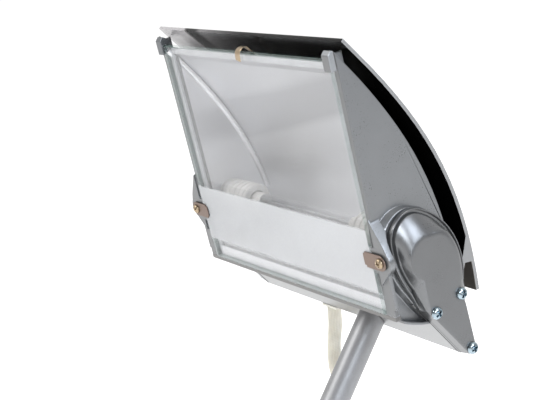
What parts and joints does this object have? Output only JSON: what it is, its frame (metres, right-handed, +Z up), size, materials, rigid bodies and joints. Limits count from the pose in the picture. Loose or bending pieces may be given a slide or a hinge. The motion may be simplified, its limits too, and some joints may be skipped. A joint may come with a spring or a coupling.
{
  "type": "halogen floodlight",
  "caption": "Linear halogen flood head with flat glass, curved cover and teardrop end caps, swivelling on a bent tube arm that tilts and swings on a wall plate",
  "frame": {"origin": "centre of the wall plate's back face, where it meets the wall", "axes": "X runs along the lamp, Y points away from the wall, Z points up; the arm lies in the plane X = 0"},
  "size_m": [0.2202, 0.3294, 0.3791],
  "materials": {
    "painted_aluminium": "satin metallic paint",
    "bracket_paint": "satin metallic paint",
    "dark_paint": "satin paint",
    "tongue_paint": "satin paint",
    "anodised": "anodised",
    "bright_sheet": "bright rolled",
    "glass": "clear with a frosted band",
    "quartz": "clear",
    "rubber": "matte",
    "ceramic": "unglazed ceramic",
    "zinc": "blue zinc plating",
    "tungsten": "drawn wire",
    "spring_bronze": "dull bronze",
    "brass": "plain",
    "steel_tube": "glossy metallic paint",
    "sleeve": "cream silicone glass sleeve",
    "black_plastic": "fine grain",
    "wire": "silicone insulation"
  },
  "bodies": {
    "wall": {"wall_plate": "bracket_paint", "swing_pin": "zinc", "swing_nut": "zinc"},
    "fork": {"fork": "bracket_paint", "tilt_bolt": "zinc", "tilt_washer": "zinc"},
    "knob": {"tilt_knob": "black_plastic"},
    "arm": {"arm_tube": "steel_tube", "arm_end_plug": "zinc", "arm_tongue": "tongue_paint", "sleeve_grommet": "rubber", "lead_grommet": "rubber", "swivel_bolt": "zinc", "swivel_washer": "zinc", "swivel_nut": "zinc"},
    "head": {"body_extrusion": "painted_aluminium", "cheek_right": "painted_aluminium", "cheek_left": "painted_aluminium", "front_rail": "anodised", "glass": "glass", "glass_seal": "rubber", "lamp_housing": "dark_paint", "reflector": "bright_sheet", "reflector_side_right": "bright_sheet", "reflector_side_left": "bright_sheet", "top_spring_clip": "brass", "clip_screw_right": "brass", "clip_screw_left": "brass", "end_cap_right": "painted_aluminium", "end_cap_left": "painted_aluminium", "cap_seal_right": "rubber", "cap_seal_left": "rubber", "cap_screw_1_right": "zinc", "cap_screw_1_left": "zinc", "cap_screw_2_right": "zinc", "cap_screw_2_left": "zinc", "cap_screw_3_right": "zinc", "cap_screw_3_left": "zinc", "lamp_tube": "quartz", "filament": "tungsten", "lamp_cap_right": "ceramic", "lamp_cap_left": "ceramic", "lamp_holder_right": "ceramic", "lamp_holder_left": "ceramic", "terminal_block": "ceramic", "earth_screw": "zinc", "lead_wire_right": "wire", "lead_wire_left": "wire", "box_grommet": "rubber", "wire_sleeve": "sleeve"},
    "clip_right": {"glass_clip_right": "spring_bronze"},
    "clip_left": {"glass_clip_left": "spring_bronze"},
    "plunger_right": {"contact_plunger_right": "brass"},
    "plunger_left": {"contact_plunger_left": "brass"}
  },
  "joints": [
    {"name": "base_swing", "type": "hinge", "parent": "wall", "child": "fork", "pos_m": [0, 0.022, 0], "axis": [0, 0, 1], "range_deg": [-45, 45]},
    {"name": "knob_turn", "type": "hinge", "parent": "fork", "child": "knob", "pos_m": [0, 0.054, 0], "axis": [1, 0, 0], "range_deg": [0, 180]},
    {"name": "arm_tilt", "type": "hinge", "parent": "fork", "child": "arm", "pos_m": [0, 0.054, 0], "axis": [1, 0, 0], "range_deg": [-35, 30]},
    {"name": "head_swivel", "type": "hinge", "parent": "arm", "child": "head", "pos_m": [0, 0.30679, 0.16608], "axis": [0, -0.6863, -0.7273], "range_deg": [-30, 30], "deforming": ["wire_sleeve"]},
    {"name": "clip_turn_right", "type": "hinge", "parent": "head", "child": "clip_right", "pos_m": [0.07, 0.25719, 0.21834], "axis": [0, 0.9629, 0.2699], "range_deg": [0, 90]},
    {"name": "clip_turn_left", "type": "hinge", "parent": "head", "child": "clip_left", "pos_m": [-0.126, 0.25719, 0.21834], "axis": [0, 0.9629, 0.2699], "range_deg": [-90, 0]},
    {"name": "contact_press_right", "type": "slide", "parent": "head", "child": "plunger_right", "axis": [1, 0, 0], "range_m": [0, 0.002], "stiffness_N_per_m": 1500},
    {"name": "contact_press_left", "type": "slide", "parent": "head", "child": "plunger_left", "axis": [-1, 0, 0], "range_m": [0, 0.002], "stiffness_N_per_m": 1500}
  ]
}
